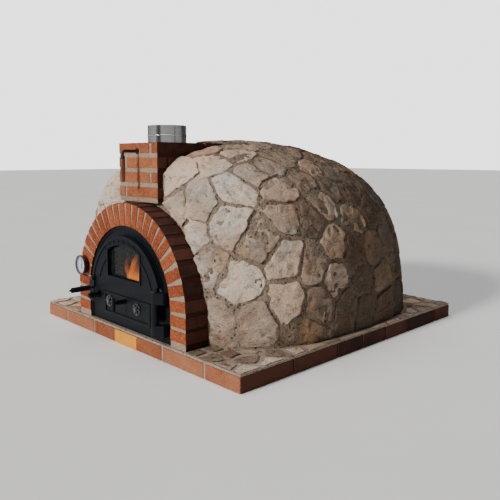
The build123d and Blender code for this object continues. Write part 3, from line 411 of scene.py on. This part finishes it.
wood = Finish("handle_wood", Roughness=0.45)
wood_grain = wood.noise(0.006, detail=5, roughness=0.65, stretch=(1, 1, 0.12))
handle_wood = wood.wear(wood.ramp(wood_grain, (0.3, (0.07, 0.018, 0.006)), (0.5, (0.18, 0.055, 0.018)),
                                  (0.7, (0.34, 0.15, 0.06))), height=wood_grain, depth=0.0006)

pane = Finish("window_glass", Roughness=0.04, Specular_IOR_Level=0.15)
# A painted shade: the pane is six tenths opaque in dark grey-green, standing for the dark oven behind the
# glass.
pane.shader.inputs["Base Color"].default_value = (0.013, 0.018, 0.018, 1)
pane.shader.inputs["Alpha"].default_value = 0.60
smears = pane.noise(0.05, detail=5)
pane.tree.links.new((smears * 0.25 + 0.02).socket, pane.shader.inputs["Roughness"])
window_pane = pane.material
cover = Finish("dial_cover", Roughness=0.06)
cover.shader.inputs["Alpha"].default_value = 0.10
dial_cover = cover.wear(cover.ramp(cover.noise(0.02), (0.3, (0.70, 0.75, 0.80)), (0.7, (0.80, 0.84, 0.88))))

dial = Finish("dial_enamel", Roughness=0.25)
dial_white = dial.wear(dial.ramp(dial.noise(0.02), (0.3, (0.50, 0.56, 0.66)), (0.7, (0.62, 0.68, 0.76))))
red = Finish("needle_red", Roughness=0.35)
needle_red = red.wear(red.ramp(red.noise(0.004), (0.3, (0.16, 0.012, 0.008)), (0.7, (0.26, 0.02, 0.014))))
yellow = Finish("plate_yellow", Roughness=0.35)
plate_cloud = yellow.noise(0.02, detail=4)
plate_yellow = yellow.wear(yellow.ramp(plate_cloud, (0.3, (0.60, 0.21, 0.001)), (0.7, (0.72, 0.29, 0.002))))

soot = Finish("soot_firebrick", Roughness=1.0, Specular_IOR_Level=0.05)
soot_cloud = soot.noise(0.09, detail=6, roughness=0.65)
soot_brick = soot.wear(soot.ramp(soot_cloud, (0.3, (0.010, 0.009, 0.008)), (0.7, (0.050, 0.040, 0.030))),
                       height=soot_cloud, depth=0.004)
fibre = Finish("ceramic_fibre", Roughness=1.0)
fibre_cloud = fibre.noise(0.006, detail=5, roughness=0.75)
white_fibre = fibre.wear(fibre.ramp(fibre_cloud, (0.3, (0.62, 0.61, 0.58)), (0.7, (0.82, 0.81, 0.78))),
                         height=fibre_cloud, depth=0.003)
rope = Finish("seal_rope", Roughness=0.95)
rope_twist = rope.noise(0.003, detail=3)
seal_rope = rope.wear(rope.ramp(rope_twist, (0.35, (0.03, 0.03, 0.03)), (0.65, (0.11, 0.11, 0.105))),
                      height=rope_twist, depth=0.0015)
print("materials:", len(bpy.data.materials))

# %% Give every CAD node its material
FINISHES = {
    concrete: ["base_slab"],
    edge_brick: ["edge_bricks_front", "edge_bricks_right", "edge_bricks_back", "edge_bricks_left"],
    arch_brick: ["arch_bricks"],
    chimney_brick: ["chimney_bricks"],
    joint_mortar: ["edge_joint_mortar", "arch_mortar", "chimney_mortar"],
    ledge_mortar: ["bedding_mortar"],
    dome_mortar: ["dome_render"],
    field_stone: [f"facing_stones_{side}" for side in ("right", "left", "back", "crown")],
    flag_stone: ["ledge_stones"],
    white_fibre: ["insulation_board", "insulation_blanket"],
    soot_brick: ["hearth_tiles", "throat_floor", "throat_vault", "refractory_dome_left",
                 "refractory_dome_right"],
    stainless: ["flue_pipe", "flue_collar", "thermometer_stem"],
    door_iron: ["door_frame", "hinge_lugs", "hinge_strap", "flap_hinge_ears", "upper_door", "latch_plate",
                "latch_handle_coil", "lower_door", "turn_handle"],
    dark_steel: ["damper_shaft", "damper_plate", "damper_bush", "damper_ferrule", "keeper_stud", "hinge_pin",
                 "glass_retainer", "latch_bolt", "latch_handle_rod", "flap_hinge_pins", "turn_handle_catch"],
    bright_steel: ["retainer_screws", "vent_rosette_left", "vent_rosette_right", "vent_bolts",
                   "thermometer_bezel"],
    handle_wood: ["damper_handle"],
    seal_rope: ["rope_seal"],
    window_pane: ["window_glass"],
    dial_cover: ["thermometer_glass"],
    case_enamel: ["thermometer_case"],
    dial_white: ["thermometer_dial"],
    needle_red: ["thermometer_needle"],
    plate_yellow: ["edge_plate"],
}
for material, names in FINISHES.items():
    for name in names:
        nodes[name].data.materials.clear()
        nodes[name].data.materials.append(material)
print("unpainted nodes:", sorted(set(nodes) - {name for names in FINISHES.values() for name in names}))

# %% [markdown]
# ## Bricks with eased edges
#
# CAD edges are perfectly sharp, and nothing fired or cast is. A copy of each brick node gets a small bevel, so
# that its edges catch the light. Each brick also gets a tint of its own.


# %% Ease the edges
def eased(node, width, body=ROOT, segments=2):
    work = merged_copy(node)
    mesh = bpy.data.meshes.new(f"{node}_eased")
    work.to_mesh(mesh)
    work.free()
    points, edges = mesh_arrays(mesh)
    label = islands(points, edges)
    shade = np.random.default_rng(7).uniform(0, 1, label.max() + 1)[label]
    mesh.attributes.new("tint", "FLOAT", "POINT").data.foreach_set("value", shade.astype(np.float32))
    piece = bpy.data.objects.new(mesh.name, mesh)
    bpy.context.scene.collection.objects.link(piece)
    bevel = piece.modifiers.new("eased", "BEVEL")
    bevel.width, bevel.segments, bevel.limit_method = width, segments, "ANGLE"
    bevel.angle_limit = math.radians(35)
    bevel.harden_normals = False
    bevel.use_clamp_overlap = True
    mesh.materials.append(nodes[node].data.materials[0])
    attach(piece, body)
    next(part["material_slot"] for part in frame["record"]["subparts"] if part["node"] == node)
    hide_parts(node)
    return piece


for name in ("arch_bricks", "chimney_bricks"):
    eased(name, 3 * MM)
for side in ("front", "right", "back", "left"):
    eased(f"edge_bricks_{side}", 3 * MM)
print("eased bricks:", 6)

# %% [markdown]
# ## The stone facing
#
# The CAD nodes hold each stone as a flat block. From each block come its plane and its outline, and on
# them a new stone is built as rings round its middle: a rough, nearly flat face, a rounded chipped rim, and
# sides that go back into the render.


# %% The dome's surface
DOME_HALF_X, DOME_HALF_Y, DOME_HEIGHT, BED_Z = 0.580, 0.556, 0.682, 0.056
FRONT_WALL_Y = -0.520
SPRING_Z, ARCH_OUTER_R = 0.169, 0.340


def dome_exponents(turn, rise):
    """How square the dome's shoulder and its plan are at each turn and rise."""
    front = np.clip(-np.sin(turn), 0, None)
    return 3.87 + 2.4 * front ** 4, np.where(front > 0, 3 - 0.6 * rise, 3)


def dome_points(turn, rise, depth):
    """The dome's surface at each turn and rise, depth metres under the stones' faces.

    In plan it is a superellipse |x/a|^n + |y/b|^n = 1. It shrinks by (1 - rise^m)^0.505 as it rises, and the
    front is cut off flat behind the arch.
    """
    shoulder, corner = dome_exponents(turn, rise)
    shrink = (1 - rise ** shoulder) ** 0.505
    reach = shrink * (np.abs(np.cos(turn)) ** corner + np.abs(np.sin(turn)) ** corner) ** (-1 / corner)
    x = (DOME_HALF_X - depth) * reach * np.cos(turn)
    y = 0.016 - 0.096 * rise + (DOME_HALF_Y - depth) * reach * np.sin(turn)
    return np.stack([x, np.maximum(y, FRONT_WALL_Y + depth), BED_Z + (DOME_HEIGHT - depth) * rise], axis=-1)


def beyond_dome(points):
    """How far each point stands outside the dome: measured level on its sides, and straight down at its top."""
    rise = np.clip((points[:, 2] - BED_Z) / DOME_HEIGHT, 0, 0.9985)
    east, north = points[:, 0], points[:, 1] - 0.016 + 0.096 * rise
    heading = np.arctan2(north / DOME_HALF_Y, east / DOME_HALF_X)
    surface = dome_points(heading, rise, 0.0)
    level = np.hypot(east, north) - np.hypot(surface[:, 0], surface[:, 1] - 0.016 + 0.096 * rise)
    shoulder, corner = dome_exponents(heading, rise)
    spread = (np.abs(east / DOME_HALF_X) ** corner + np.abs(north / DOME_HALF_Y) ** corner) ** (1 / corner)
    top = BED_Z + DOME_HEIGHT * np.clip(1 - spread ** (1 / 0.505), 0, 1) ** (1 / shoulder)
    return np.where(rise > 0.92, points[:, 2] - top, level)


def onto_dome(points, normal, furthest=0.03):
    """Slides points along a normal until they lie on the dome, by three secant steps."""
    moved = points.copy()
    for _ in range(3):
        gap = beyond_dome(moved)
        slope = (beyond_dome(moved + 0.001 * normal) - beyond_dome(moved - 0.001 * normal)) / 0.002
        moved = moved - (gap / np.clip(slope, 0.35, None))[:, None] * normal
    slid = np.clip((moved - points) @ normal, -furthest, furthest / 3)
    return points + slid[:, None] * normal


def pressed(points, proud=0.003):
    """Points that stand further out than proud are moved back along the surface's own slope."""
    for _ in range(2):
        gap = beyond_dome(points) - proud
        slope = np.stack([beyond_dome(points + step) - beyond_dome(points - step)
                          for step in 0.001 * np.eye(3)], axis=1) / 0.002
        steepness = np.clip((slope ** 2).sum(axis=1), 0.5, None)
        points = points - (np.clip(gap, 0, 0.12) / steepness)[:, None] * slope
    return points


# %% Stones from their blocks
RIM_POINTS = 56
FACE_SHARES = [0.16, 0.32, 0.47, 0.60, 0.71, 0.80, 0.87, 0.93, 0.97, 1.0]
SIDE_SHARES = [1.0, 0.96, 0.88, 0.5]
RING_SHARES = np.array(FACE_SHARES + SIDE_SHARES)
FACE_RINGS = len(FACE_SHARES)
POINTS_EACH = len(RING_SHARES) * RIM_POINTS + 2


def block_outline(points, hub):
    """The plane and the outer corners of one block: its thin direction is the face's normal."""
    middle = points.mean(axis=0)
    normal = np.linalg.svd(points - middle)[2][2]
    normal = normal * np.sign(normal @ (middle - hub))
    height = (points - middle) @ normal
    corners = points[height > height.mean()]
    across = np.cross(normal, [0.0, 0.0, 1.0] if abs(normal[2]) < 0.9 else [0.0, 1.0, 0.0])
    across /= np.linalg.norm(across)
    up = np.cross(normal, across)
    centre = corners.mean(axis=0)
    flat = np.stack([(corners - centre) @ across, (corners - centre) @ up], axis=1)
    flat = flat[np.argsort(np.arctan2(flat[:, 1], flat[:, 0]))]
    return centre, np.stack([across, up, normal]), flat


def rim_of(flat):
    """The outline as evenly spaced points, its corners eased by one round of averaging."""
    ends = np.roll(flat, -1, axis=0)
    reach = np.concatenate([[0], np.cumsum(np.linalg.norm(ends - flat, axis=1))])
    spot = np.linspace(0, reach[-1], RIM_POINTS, endpoint=False)
    closed = np.vstack([flat, flat[:1]])
    rim = np.stack([np.interp(spot, reach, closed[:, 0]), np.interp(spot, reach, closed[:, 1])], axis=1)
    return (np.roll(rim, 1, axis=0) + 4 * rim + np.roll(rim, -1, axis=0)) / 6


def stone_points(centre, axes, flat, dice, thick, relief, curved):
    """Rings of points: a split face with ridges, a chipped rim, and sides going back into the render."""
    seed = int(dice.integers(99999))
    rim = rim_of(flat)
    size = np.linalg.norm(rim, axis=1)
    ragged = noise(np.column_stack([rim / 0.030, np.full(RIM_POINTS, 0.5)]), 1.0, seed, 3)
    rim = rim * (1 + (0.0085 * ragged + 0.0005) / size)[:, None]
    flat_points = (RING_SHARES[:, None, None] * rim[None]).reshape(-1, 2)
    flat_points = np.vstack([flat_points, [[0, 0], [0, 0]]])
    share = np.append(np.repeat(RING_SHARES, RIM_POINTS), [0, 0])
    ring = np.append(np.repeat(np.arange(len(RING_SHARES)), RIM_POINTS), [0, len(RING_SHARES)])
    world = centre + flat_points @ axes[:2]
    if curved:
        world = onto_dome(world, axes[2])
    lumps = noise(world, 0.055, seed, 2)
    ridges = 1 - 2 * np.abs(noise(world, 0.035, seed + 7, 3))
    tilt = flat_points @ dice.uniform(-0.06, 0.06, 2)
    face = relief * (0.45 * lumps + 0.55 * ridges) + tilt - relief * 0.6
    chips = 0.5 + 0.5 * noise(world, 0.014, seed + 3, 2)
    face = face - thick * (0.02 + 0.22 * chips ** 2) * smooth_step(share, 0.90, 1.0)
    face = np.clip(face, -0.5 * thick, -0.0002)
    sides = np.interp(ring, [FACE_RINGS - 1, FACE_RINGS, FACE_RINGS + 1, FACE_RINGS + 2, FACE_RINGS + 4],
                      [0.30, 0.55, 0.80, 0.97, 1.0])
    level = np.where(ring < FACE_RINGS, face, -sides * thick)
    world = world + level[:, None] * axes[2]
    return pressed(world) if curved else world


ring_grid = grid_faces(len(RING_SHARES), RIM_POINTS)
turn = np.arange(RIM_POINTS)
hub_point, back_point = POINTS_EACH - 2, POINTS_EACH - 1
last_ring = (len(RING_SHARES) - 1) * RIM_POINTS
STONE_FACES = ([list(face[::-1]) for face in ring_grid]
               + [[(i + 1) % RIM_POINTS, hub_point, i] for i in turn]
               + [[last_ring + i, back_point, last_ring + (i + 1) % RIM_POINTS] for i in turn])


def stones(node, material, thick, relief, dice, shade_of, hub, curved=True):
    """All the stones of one node as one piece."""
    work = merged_copy(node)
    holder = bpy.data.meshes.new("blocks")
    work.to_mesh(holder)
    work.free()
    points, edges = mesh_arrays(holder)
    label = islands(points, edges)
    bpy.data.meshes.remove(holder)
    shapes, tints = [], []
    for k in range(label.max() + 1):
        centre, axes, flat = block_outline(points[label == k], hub)
        shapes.append(stone_points(centre, axes, flat, dice, thick, relief, curved))
        tints.append(np.full(POINTS_EACH, shade_of(centre, dice)))
    faces = [[i + POINTS_EACH * k for i in face] for k in range(len(shapes)) for face in STONE_FACES]
    piece = new_piece(f"{node}_split", np.vstack(shapes), faces, ROOT, material,
                      tint=np.concatenate(tints))
    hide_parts(node)
    print(piece.name, len(shapes), "stones")
    return piece


def stone_tint_and_painted_shade(centre, dice):
    """Pale stones beside the arch, mixed ones on the shoulder, and darker ones on the flanks and the back: a
    painted shade, with a random tint of each stone's own on top.
    """
    middle = np.interp(centre[1], [-0.50, -0.36, -0.20, 0.05, 0.5], [0.97, 0.88, 0.66, 0.42, 0.34])
    return float(np.clip(middle + dice.uniform(-0.22, 0.2), 0.05, 1.0))


dice = np.random.default_rng(31)
for side in ("right", "left", "back", "crown"):
    stones(f"facing_stones_{side}", field_stone, 17 * MM, 8.0 * MM, dice, stone_tint_and_painted_shade, np.array([0, 0, 0.25]))
stones("ledge_stones", flag_stone, 4 * MM, 1.0 * MM, dice, lambda centre, d: d.uniform(0.55, 1.0),
       np.array([0, 0, -50.0]), curved=False)

# %% [markdown]
# ## The render between the stones
#
# The render is one skin over the whole dome: a superellipse in plan that shrinks as it rises. It lies
# 7 mm under the dome's surface and is roughened by noise. Where the arch, the chimney and the flue stand,
# its faces are left out.


# %% Dome render
ROWS, COLUMNS = 230, 460
heights = np.concatenate([np.linspace(0, 0.72, 100), 1 - 0.28 * np.linspace(1, 0, ROWS - 99)[1:] ** 2.1])
heights[-1] = 0.99995
turn_grid, rise_grid = np.meshgrid(np.linspace(0, 2 * np.pi, COLUMNS, endpoint=False), heights)
turns, rises = turn_grid.ravel(), rise_grid.ravel()
skin = dome_points(turns, rises, 0.0070)
outward = dome_points(turns, rises, 0.0) - dome_points(turns, rises, 0.02)
outward /= np.linalg.norm(outward, axis=1)[:, None] + 1e-9
skin += outward * (noise(skin, 0.045, 3, 3) * 0.0032 + noise(skin, 0.014, 5, 2) * 0.0014)[:, None]
# A painted shade on the render: its tint falls from the front toward the flanks and the back.
light = np.interp(skin[:, 1], [-0.50, -0.36, -0.20, 0.05], [1.0, 0.85, 0.62, 0.36])
faces = grid_faces(ROWS, COLUMNS)
centre = skin[faces].mean(axis=1)
from_arch = np.hypot(centre[:, 0], np.clip(centre[:, 2] - SPRING_Z, 0, None))
behind_arch = (centre[:, 1] < -0.35) & (from_arch < ARCH_OUTER_R - 0.012)
in_flue = np.hypot(centre[:, 0], centre[:, 1] + 0.408) < 0.080
faces = faces[~(behind_arch | in_flue)]
used, renumbered = np.unique(faces, return_inverse=True)
render_skin = new_piece("dome_render_skin", skin[used], renumbered.reshape(-1, 4), ROOT, dome_mortar,
                        tint=light[used])
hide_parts("dome_render")
print("render skin:", len(used), "points")

# %% [markdown]
# ## The coil handle
#
# The latch handle is steel wire wound round a rod so that it stays cool. It is a circle carried along a helix.


# %% Coil
def tube(path, radius, sides=10):
    """A circle of this radius carried along a path of points, closed by its end points."""
    ahead = np.gradient(path, axis=0)
    ahead /= np.linalg.norm(ahead, axis=1)[:, None]
    side = np.cross(ahead, [0.0, 1.0, 0.0])
    side /= np.linalg.norm(side, axis=1)[:, None]
    other = np.cross(ahead, side)
    angle = np.linspace(0, 2 * np.pi, sides, endpoint=False)
    ring = np.cos(angle)[None, :, None] * side[:, None] + np.sin(angle)[None, :, None] * other[:, None]
    points = (path[:, None] + np.asarray(radius).reshape(-1, 1, 1) * ring).reshape(-1, 3)
    return points, grid_faces(len(path), sides)


coil_low, coil_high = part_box("latch_handle_coil")
COIL_TURNS = 19
WIRE_R = 2.0 * MM
coil_axis = ((coil_low.x + coil_high.x) / 2, (coil_low.z + coil_high.z) / 2)
coil_r = (coil_high.x - coil_low.x) / 2 - WIRE_R
share = np.linspace(0, 1, COIL_TURNS * 18)
angle = share * COIL_TURNS * 2 * np.pi
path = np.stack([coil_axis[0] + coil_r * np.cos(angle),
                 coil_high.y - WIRE_R + (coil_low.y - coil_high.y + 2 * WIRE_R) * share,
                 coil_axis[1] + coil_r * np.sin(angle)], axis=1)
points, faces = tube(path, WIRE_R, 8)
coil = new_piece("latch_handle_wire", points, faces[:, ::-1], "door_latch", door_iron)
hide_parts("latch_handle_coil")
print("coil turns:", COIL_TURNS)

# %% [markdown]
# ## The fire
#
# Three split logs burn at the left of the oven's mouth, where they show through the window. A flame is a
# teardrop: a circle whose radius swells and then thins to nothing while its middle sways. Its colour runs
# from pale yellow at the foot, through orange, to a red tip, read from a number stored on its points.

# %% Flames
FIRE_X, FIRE_Y, HEARTH_Z = -0.145, -0.465, 0.098
flame = Finish("flame")
height_up = flame.tint()
flame.tree.links.remove(flame.output.inputs["Surface"].links[0])
glow = flame.tree.nodes.new("ShaderNodeEmission")
flame_colour = flame.ramp(height_up + (flame.noise(0.03, detail=3) - 0.5) * 0.35,
                          (0.0, (1.0, 0.50, 0.05)), (0.40, (1.0, 0.27, 0.008)), (0.70, (0.80, 0.09, 0.003)),
                          (1.0, (0.25, 0.015, 0.001)))
flame.tree.links.new(flame_colour.socket, glow.inputs["Color"])
glow.inputs["Strength"].default_value = 5.0
clear = flame.tree.nodes.new("ShaderNodeBsdfTransparent")
wisps = flame.noise(0.022, detail=4, roughness=0.6, stretch=(1, 1, 0.35))
veil = flame.add("ShaderNodeMixShader", values={0: (height_up * 0.9 + wisps * 1.1 - 0.55).fade(0.10, 0.65)})
flame.tree.links.new(glow.outputs[0], veil.socket.node.inputs[1])
flame.tree.links.new(clear.outputs[0], veil.socket.node.inputs[2])
flame.tree.links.new(veil.socket, flame.output.inputs["Surface"])


TONGUES, TONGUE_ROWS, TONGUE_SIDES = 20, 26, 14


def tongue(x, y, width, tall, phase):
    """A teardrop with a swaying middle: the radius is width * up**0.5 * (1 - up) * 2.2."""
    up = np.linspace(0.004, 1, TONGUE_ROWS)
    sway = 0.16 * tall * up ** 1.5 * np.sin(5 * up + phase)
    angle = np.linspace(0, 2 * np.pi, TONGUE_SIDES, endpoint=False)
    radius = width * np.sqrt(up) * (1 - up) * 2.2 * (1 + 0.12 * np.sin(9 * up + 2 * phase)) + 0.0004
    px = x + sway[:, None] + radius[:, None] * np.cos(angle)
    py = y + 0.6 * sway[:, None] + 0.7 * radius[:, None] * np.sin(angle)
    pz = np.broadcast_to((HEARTH_Z + 0.035 + tall * up)[:, None], px.shape)
    return np.stack([px, py, pz], axis=-1).reshape(-1, 3), np.repeat(up, TONGUE_SIDES)


sparks = np.random.default_rng(5)
flame_points, flame_tints = [], []
for k in range(TONGUES):
    spread_x, spread_y = sparks.uniform(-0.045, 0.045), sparks.uniform(-0.025, 0.025)
    tall = (0.26 - 2.2 * abs(spread_x)) * sparks.uniform(0.55, 1.1)
    points, up = tongue(FIRE_X + spread_x, FIRE_Y + spread_y, sparks.uniform(0.014, 0.026), tall,
                        sparks.uniform(0, 6))
    flame_points.append(points)
    flame_tints.append(up)
one = grid_faces(TONGUE_ROWS, TONGUE_SIDES)
faces = np.vstack([one + TONGUE_ROWS * TONGUE_SIDES * k for k in range(TONGUES)])
new_piece("flames", np.vstack(flame_points), faces, ROOT, flame.material,
          tint=np.concatenate(flame_tints))

# %% Logs
bark = Finish("charred_log", Roughness=0.95)
bark_noise = bark.noise(0.012, detail=6, roughness=0.7)
embers = bark.noise(0.02, detail=5, roughness=0.7, offset=4.2)
log_material = bark.wear(bark.ramp(bark_noise, (0.35, (0.012, 0.010, 0.009)), (0.7, (0.09, 0.06, 0.04))),
                         height=bark_noise, depth=0.006)
bark.tree.links.new(bark.mix(embers.fade(0.52, 0.68), (0, 0, 0), (1.0, 0.20, 0.03)).socket,
                    bark.shader.inputs["Emission Color"])
bark.shader.inputs["Emission Strength"].default_value = 2.5


def log(start, end, radius, seed):
    """A split log: a circle of uneven radius along a line, with a flat cut end."""
    start, end = np.array(start), np.array(end)
    along = np.concatenate([[0, 0], np.linspace(0, 1, 14), [1, 1]])
    size = np.concatenate([[0.02, 0.9], np.ones(14), [0.9, 0.02]])
    ahead = (end - start) / np.linalg.norm(end - start)
    side = np.cross(ahead, [0, 0, 1])
    side /= np.linalg.norm(side)
    other = np.cross(ahead, side)
    angle = np.linspace(0, 2 * np.pi, 20, endpoint=False)
    ring = np.cos(angle)[None, :, None] * side + np.sin(angle)[None, :, None] * other
    points = (start + along[:, None, None] * (end - start) + radius * size[:, None, None] * ring).reshape(-1, 3)
    points += (points - points.mean(axis=0)) * (0.06 * noise(points, 0.03, seed, 2))[:, None]
    return points, grid_faces(len(along), 20)


shapes = [log((-0.18, -0.37, 0.128), (-0.15, -0.53, 0.126), 0.026, 1),
          log((-0.12, -0.41, 0.128), (-0.10, -0.53, 0.126), 0.024, 2),
          log((-0.19, -0.45, 0.168), (-0.09, -0.46, 0.164), 0.020, 3)]
offsets = np.cumsum([0] + [len(points) for points, _ in shapes])
new_piece("firewood", np.vstack([points for points, _ in shapes]),
          np.vstack([faces + offset for (_, faces), offset in zip(shapes, offsets)]), ROOT,
          log_material)
print("logs:", len(shapes), "flames:", len(flame_points))

# %% [markdown]
# ## Floor, light and camera
#
# A plain pale floor and a white surround, one low sun-like key from the front, a wide soft lamp overhead
# and a weak even fill, so that the front is bright and the flanks fall into shade.

# %% Floor
floor_finish = Finish("pale_floor", Roughness=0.9)
floor_finish.wear(floor_finish.ramp(floor_finish.noise(0.4), (0.3, (0.88, 0.88, 0.88)),
                                    (0.7, (0.92, 0.92, 0.92))))
floor_mesh = bpy.data.meshes.new("floor")
floor_mesh.from_pydata([(-30, -30, 0), (30, -30, 0), (30, 30, 0), (-30, 30, 0)], [], [(0, 1, 2, 3)])
floor = bpy.data.objects.new("floor", floor_mesh)
floor.data.materials.append(floor_finish.material)
bpy.context.scene.collection.objects.link(floor)


# %% Light
def sun(name, strength, softness, tilt, heading, colour=(1, 1, 1)):
    """A distant lamp: tilt is how far it leans from straight down, and heading turns it round the object."""
    lamp = bpy.data.lights.new(name, "SUN")
    lamp.energy, lamp.angle, lamp.color = strength, math.radians(softness), colour
    holder = bpy.data.objects.new(name, lamp)
    holder.rotation_euler = (math.radians(tilt), 0, math.radians(heading))
    bpy.context.scene.collection.objects.link(holder)


sun("key", 3.3, 8, 66, -4, (1.0, 0.97, 0.93))
sun("overhead", 1.3, 50, 12, -60)
world = bpy.data.worlds.new("surround")
world.use_nodes = True
tree = world.node_tree
seen = tree.nodes.new("ShaderNodeLightPath")
strength = tree.nodes.new("ShaderNodeMapRange")
tree.links.new(seen.outputs["Is Camera Ray"], strength.inputs["Value"])
strength.inputs["To Min"].default_value, strength.inputs["To Max"].default_value = 0.14, 2.5
tree.nodes["Background"].inputs["Color"].default_value = (1, 1, 1, 1)
tree.links.new(strength.outputs[0], tree.nodes["Background"].inputs["Strength"])
bpy.context.scene.world = world

# %% Camera
YAW, PITCH = math.radians(46.235), math.radians(5)
camera = bpy.data.cameras.new("camera")
camera.sensor_width, camera.lens, camera.shift_y = 36, 42.32, -0.0814
camera_object = bpy.data.objects.new("camera", camera)
camera_object.location = (1.7765, -1.6890, 0.6649)
camera_object.rotation_euler = (math.pi / 2 - PITCH, 0, YAW)
bpy.context.scene.collection.objects.link(camera_object)
bpy.context.scene.camera = camera_object
